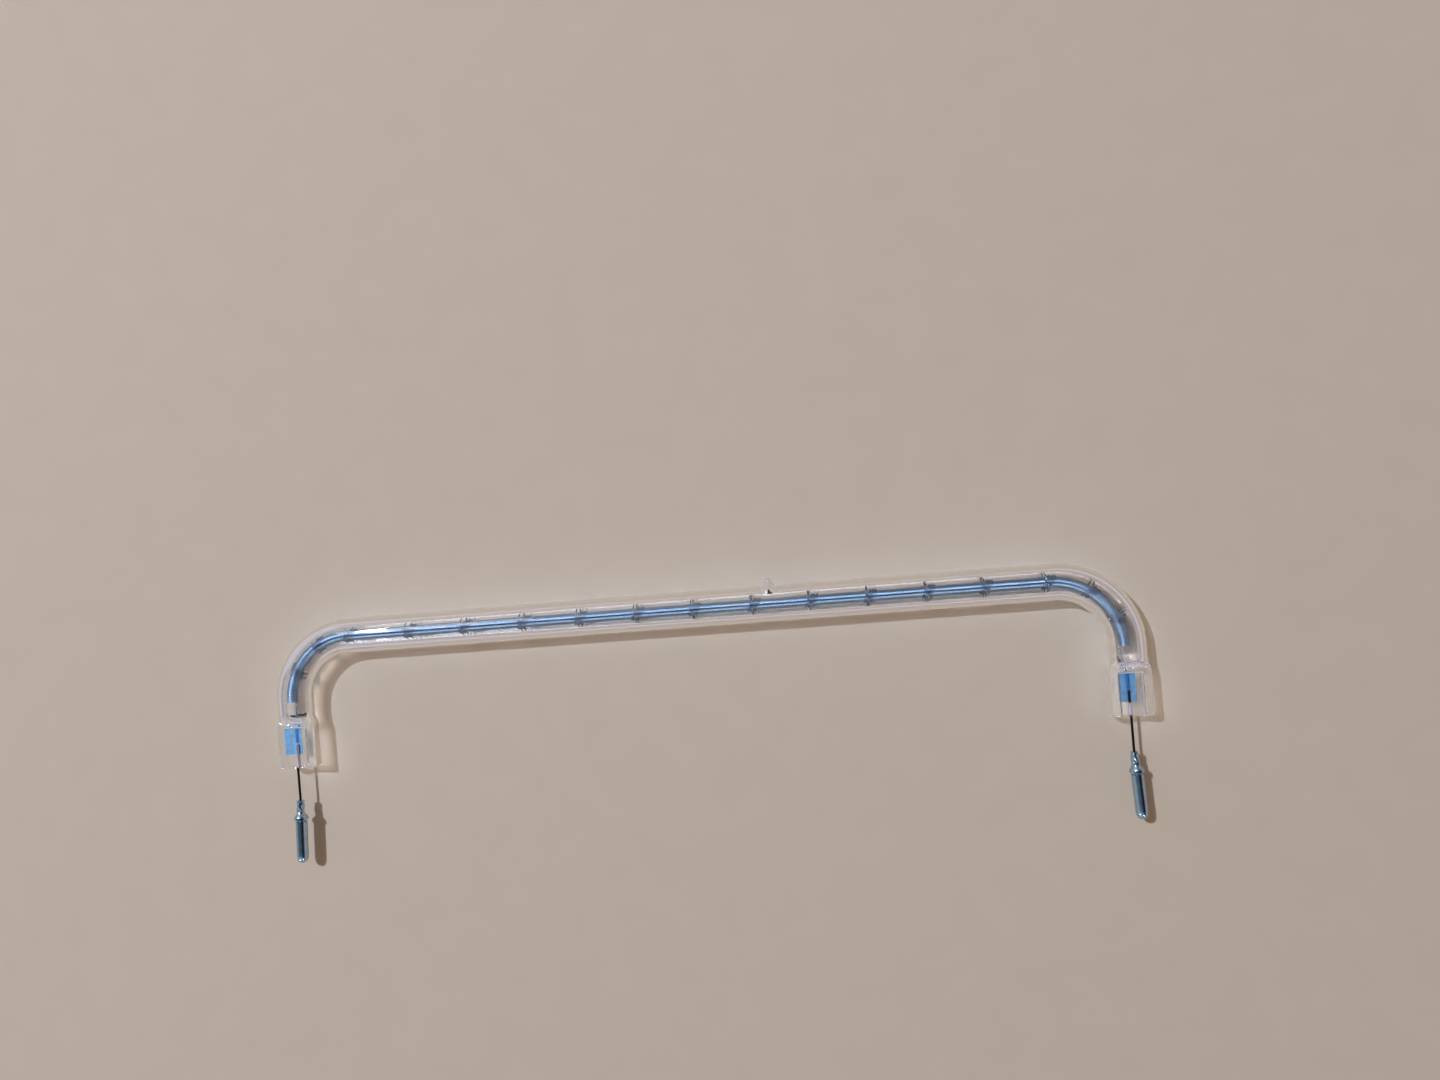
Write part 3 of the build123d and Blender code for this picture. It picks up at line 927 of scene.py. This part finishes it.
def buildFloor():
    # Matt paper sweep: pale warm beige, no gloss, so that glass edges and shadows read on it. Its fibres
    # are finer than a pixel, so they are drawn as clouds of 2 mm
    material, tree = newMaterial("paperSweepMatt")
    fibres = addNode(tree, "ShaderNodeTexNoise", {"Scale": 1 / (2 * mm), "Detail": 2.0})
    colour = addNode(tree, "ShaderNodeValToRGB", {}, {"Fac": fibres.outputs[0]})
    fillRamp(colour.color_ramp, [(0.0, "#cbc4be"), (1.0, "#d0c9c3")])
    paper = addNode(tree, "ShaderNodeBsdfPrincipled", {"Roughness": 0.9, "Specular IOR Level": 0.2}, {
        "Base Color": colour.outputs[0],
    })
    addNode(tree, "ShaderNodeOutputMaterial", {}, {"Surface": paper.outputs[0]})
    half = studio["floorSize"] / 2
    mesh = bpy.data.meshes.new("paperSweep")
    z = -studio["floorDrop"]
    corners = [(-half, -half, z), (half, -half, z), (half, half, z), (-half, half, z)]
    mesh.from_pydata(corners, [], [(0, 1, 2, 3)])
    mesh.materials.append(material)
    floor = bpy.data.objects.new("paperSweep", mesh)
    bpy.context.scene.collection.objects.link(floor)


def stripTurn(place):
    # faces the object with the lamp's length across the X axis
    away = Vector(place).normalized()
    along = Vector((1, 0, 0)).cross(away).normalized()
    return Matrix((along.cross(away), along, away)).transposed().to_euler()


def addSoftbox(name, place, width, height, radiance, hexCode, shape="RECTANGLE"):
    # an area lamp that faces the object from a place; its power gives the radiance asked for
    light = bpy.data.lights.new(name, "AREA")
    light.shape = shape
    light.size = width
    area = width * height
    if shape == "DISK":
        area = math.pi * width * width / 4
    else:
        light.size_y = height
    light.energy = radiance * math.pi * area
    light.color = linear(hexCode)[:3]
    lamp = bpy.data.objects.new(name, light)
    lamp.location = Vector(place)
    lamp.rotation_euler = Vector(place).to_track_quat("Z", "Y").to_euler()
    bpy.context.scene.collection.objects.link(lamp)
    return lamp


buildFloor()
# The key lamp throws the shadows, and its halo softens them a little
addSoftbox("keyLamp", (-1.158, 1.0, 2.165), 0.09, 0.09, 1780, "#fefffe", "DISK")
addSoftbox("keyHaloLamp", (-1.06, 1.02, 2.18), 0.64, 0.64, 5, "#eef4ff", "DISK")
# A strip beside the key lamp, seen in glossy things only: it draws the long highlight on the glass
stripLamp = addSoftbox("stripLamp", (-1.158, 0.94, 2.195), 0.05, 0.9, 34, "#f8faff")
stripLamp.rotation_euler = stripTurn(stripLamp.location)
stripLamp.visible_diffuse = False
# Small lamps in front, seen in glossy things only: glints on the shoulders and the flat ends
for name, place in (("glintLampLeft", (-1.62, -1.55, 1.3)), ("glintLampRight", (0.9, -1.9, 1.6))):
    glintLamp = addSoftbox(name, place, 0.16, 0.16, 70, "#ffffff", "DISK")
    glintLamp.visible_diffuse = False


def roomColour(tree, axes, across, turn):
    # what glossy things mirror: bright and bluish on the left, dark on the right, dim overhead
    sides = addNode(tree, "ShaderNodeValToRGB", {}, {"Fac": across.outputs[0]})
    fillRamp(sides.color_ramp, [
        (0.46, studio["leftColour"]), (0.6, studio["middleColour"]), (0.8, studio["rightColour"]),
    ])
    dimming = addNode(tree, "ShaderNodeValToRGB", {}, {"Fac": turn.outputs[0]})
    fillRamp(dimming.color_ramp, [
        (0.05, "#909090"), (0.2, "#ffffff"), (0.36, "#ffffff"), (0.4, "#808080"),
        (0.54, "#808080"), (0.58, "#ffffff"), (0.78, "#ffffff"), (0.9, "#606060"),
    ])
    # less of the dimming far to the left
    dimShare = addNode(tree, "ShaderNodeMapRange", {"From Min": -0.85, "From Max": -0.6, "To Min": 0.7}, {
        "Value": axes.outputs["X"],
    })
    dimmed = addNode(tree, "ShaderNodeMix", {"data_type": "RGBA", "blend_type": "MULTIPLY"}, {
        0: dimShare.outputs[0], 6: sides.outputs[0], 7: dimming.outputs[0],
    })
    # paler towards the horizon, so the tube stays clear seen from the side
    rise = addNode(tree, "ShaderNodeMapRange", {"From Min": 0.1, "From Max": 0.6}, {
        "Value": axes.outputs["Z"],
    })
    return addNode(tree, "ShaderNodeMix", {"data_type": "RGBA", 6: linear(studio["horizonColour"])}, {
        0: rise.outputs[0], 7: dimmed.outputs[2],
    })


def buildWorld():
    # a room that glossy things mirror, with an even warm light for matt ones and a plain pale backdrop
    world = bpy.data.worlds.new("studioRoom")
    bpy.context.scene.world = world
    world.use_nodes = True
    world.cycles.sampling_method = "NONE"
    tree = world.node_tree
    tree.nodes.clear()
    direction = addNode(tree, "ShaderNodeTexCoord")
    axes = addNode(tree, "ShaderNodeSeparateXYZ", {}, {0: direction.outputs["Generated"]})
    across = addNode(tree, "ShaderNodeMapRange", {"From Min": -1.0, "From Max": 1.0}, {
        "Value": axes.outputs["X"],
    })
    # how far a surface leans that mirrors this direction straight up: 0 is 45 degrees forwards, 1 back
    raised = addNode(tree, "ShaderNodeMath", {"operation": "ADD", 1: 1.0}, {0: axes.outputs["Z"]})
    angle = addNode(tree, "ShaderNodeMath", {"operation": "ARCTAN2"}, {
        0: axes.outputs["Y"], 1: raised.outputs[0],
    })
    turn = addNode(tree, "ShaderNodeMapRange", {"From Min": -math.pi / 4, "From Max": math.pi / 4}, {
        "Value": angle.outputs[0],
    })
    room = roomColour(tree, axes, across, turn)
    lights = addNode(tree, "ShaderNodeBackground", {}, {"Color": room.outputs[2]})
    # The bands show only in what stands inside the tube, so its glass stays clear of white streaks
    rays = addNode(tree, "ShaderNodeLightPath")
    inside = addNode(tree, "ShaderNodeMath", {"operation": "COMPARE", 1: studio["bandDepth"], 2: 0.5}, {
        0: rays.outputs["Transmission Depth"],
    })
    strength = addNode(tree, "ShaderNodeMath", {"operation": "MULTIPLY", 1: studio["bandStrength"]}, {
        0: inside.outputs[0],
    })
    bandFade = [(0.05, "#a0a0a0"), (0.2, "#ffffff"), (0.55, "#ffffff"), (0.75, "#888888")]
    glowFade = [(0.16, "#000000"), (0.26, "#ffffff"), (0.38, "#ffffff"), (0.5, "#000000")]
    for hexCode, edges, fade, level in (
        # one band behind the span, one in front of it, and a glow round the key lamp, on the glass too
        (studio["farBandColour"], (0.56, 0.61, 0.76, 0.82), bandFade, strength),
        (studio["nearBandColour"], (0.1, 0.17, 0.31, 0.37), bandFade, strength),
        (studio["glowColour"], (0.5, 0.62, 0.7, 0.9), glowFade, None),
    ):
        band = addNode(tree, "ShaderNodeValToRGB", {}, {"Fac": turn.outputs[0]})
        fillRamp(band.color_ramp, zip(edges, ("#000000", hexCode, hexCode, "#000000")))
        fading = addNode(tree, "ShaderNodeValToRGB", {}, {"Fac": across.outputs[0]})
        fillRamp(fading.color_ramp, fade)
        shown = addNode(tree, "ShaderNodeMix", {"data_type": "RGBA", "blend_type": "MULTIPLY", 0: 1.0}, {
            6: band.outputs[0], 7: fading.outputs[0],
        })
        glow = addNode(tree, "ShaderNodeBackground", {"Strength": studio["glowStrength"]}, {
            "Color": shown.outputs[2],
        })
        if level:
            tree.links.new(level.outputs[0], glow.inputs["Strength"])
        lights = addNode(tree, "ShaderNodeAddShader", {}, {0: lights.outputs[0], 1: glow.outputs[0]})
    fill = addNode(tree, "ShaderNodeBackground", {
        "Color": linear(studio["fillColour"]), "Strength": studio["fillStrength"],
    })
    backdrop = addNode(tree, "ShaderNodeBackground", {"Color": linear(studio["backdropColour"])})
    # matt things are lit by the fill, the camera sees the backdrop, and the rest mirrors the room
    lighting = addNode(tree, "ShaderNodeMixShader", {}, {
        0: rays.outputs["Is Diffuse Ray"], 1: lights.outputs[0], 2: fill.outputs[0],
    })
    mix = addNode(tree, "ShaderNodeMixShader", {}, {
        0: rays.outputs["Is Camera Ray"], 1: lighting.outputs[0], 2: backdrop.outputs[0],
    })
    addNode(tree, "ShaderNodeOutputWorld", {}, {"Surface": mix.outputs[0]})


buildWorld()
bpy.context.scene.view_settings.view_transform = "Standard"
print("studio made")


photoView = {
    "lens": 27.025,                   # with the place and turn, fitted to the photograph
    "sensorWidth": 36.0,
    "place": (0.0431, 0.046774, 0.3016),
    "turn": (-0.4598, 6.2635, -4.7519),     # in degrees
}
cameraData = bpy.data.cameras.new("photoCamera")
cameraData.lens = photoView["lens"]
cameraData.sensor_width = photoView["sensorWidth"]
cameraData.sensor_fit = "HORIZONTAL"
cameraData.clip_start = 5 * mm
camera = bpy.data.objects.new("photoCamera", cameraData)
camera.location = photoView["place"]
camera.rotation_euler = Euler([math.radians(a) for a in photoView["turn"]], "XYZ")
bpy.context.scene.collection.objects.link(camera)
bpy.context.scene.camera = camera

print("scene ready")
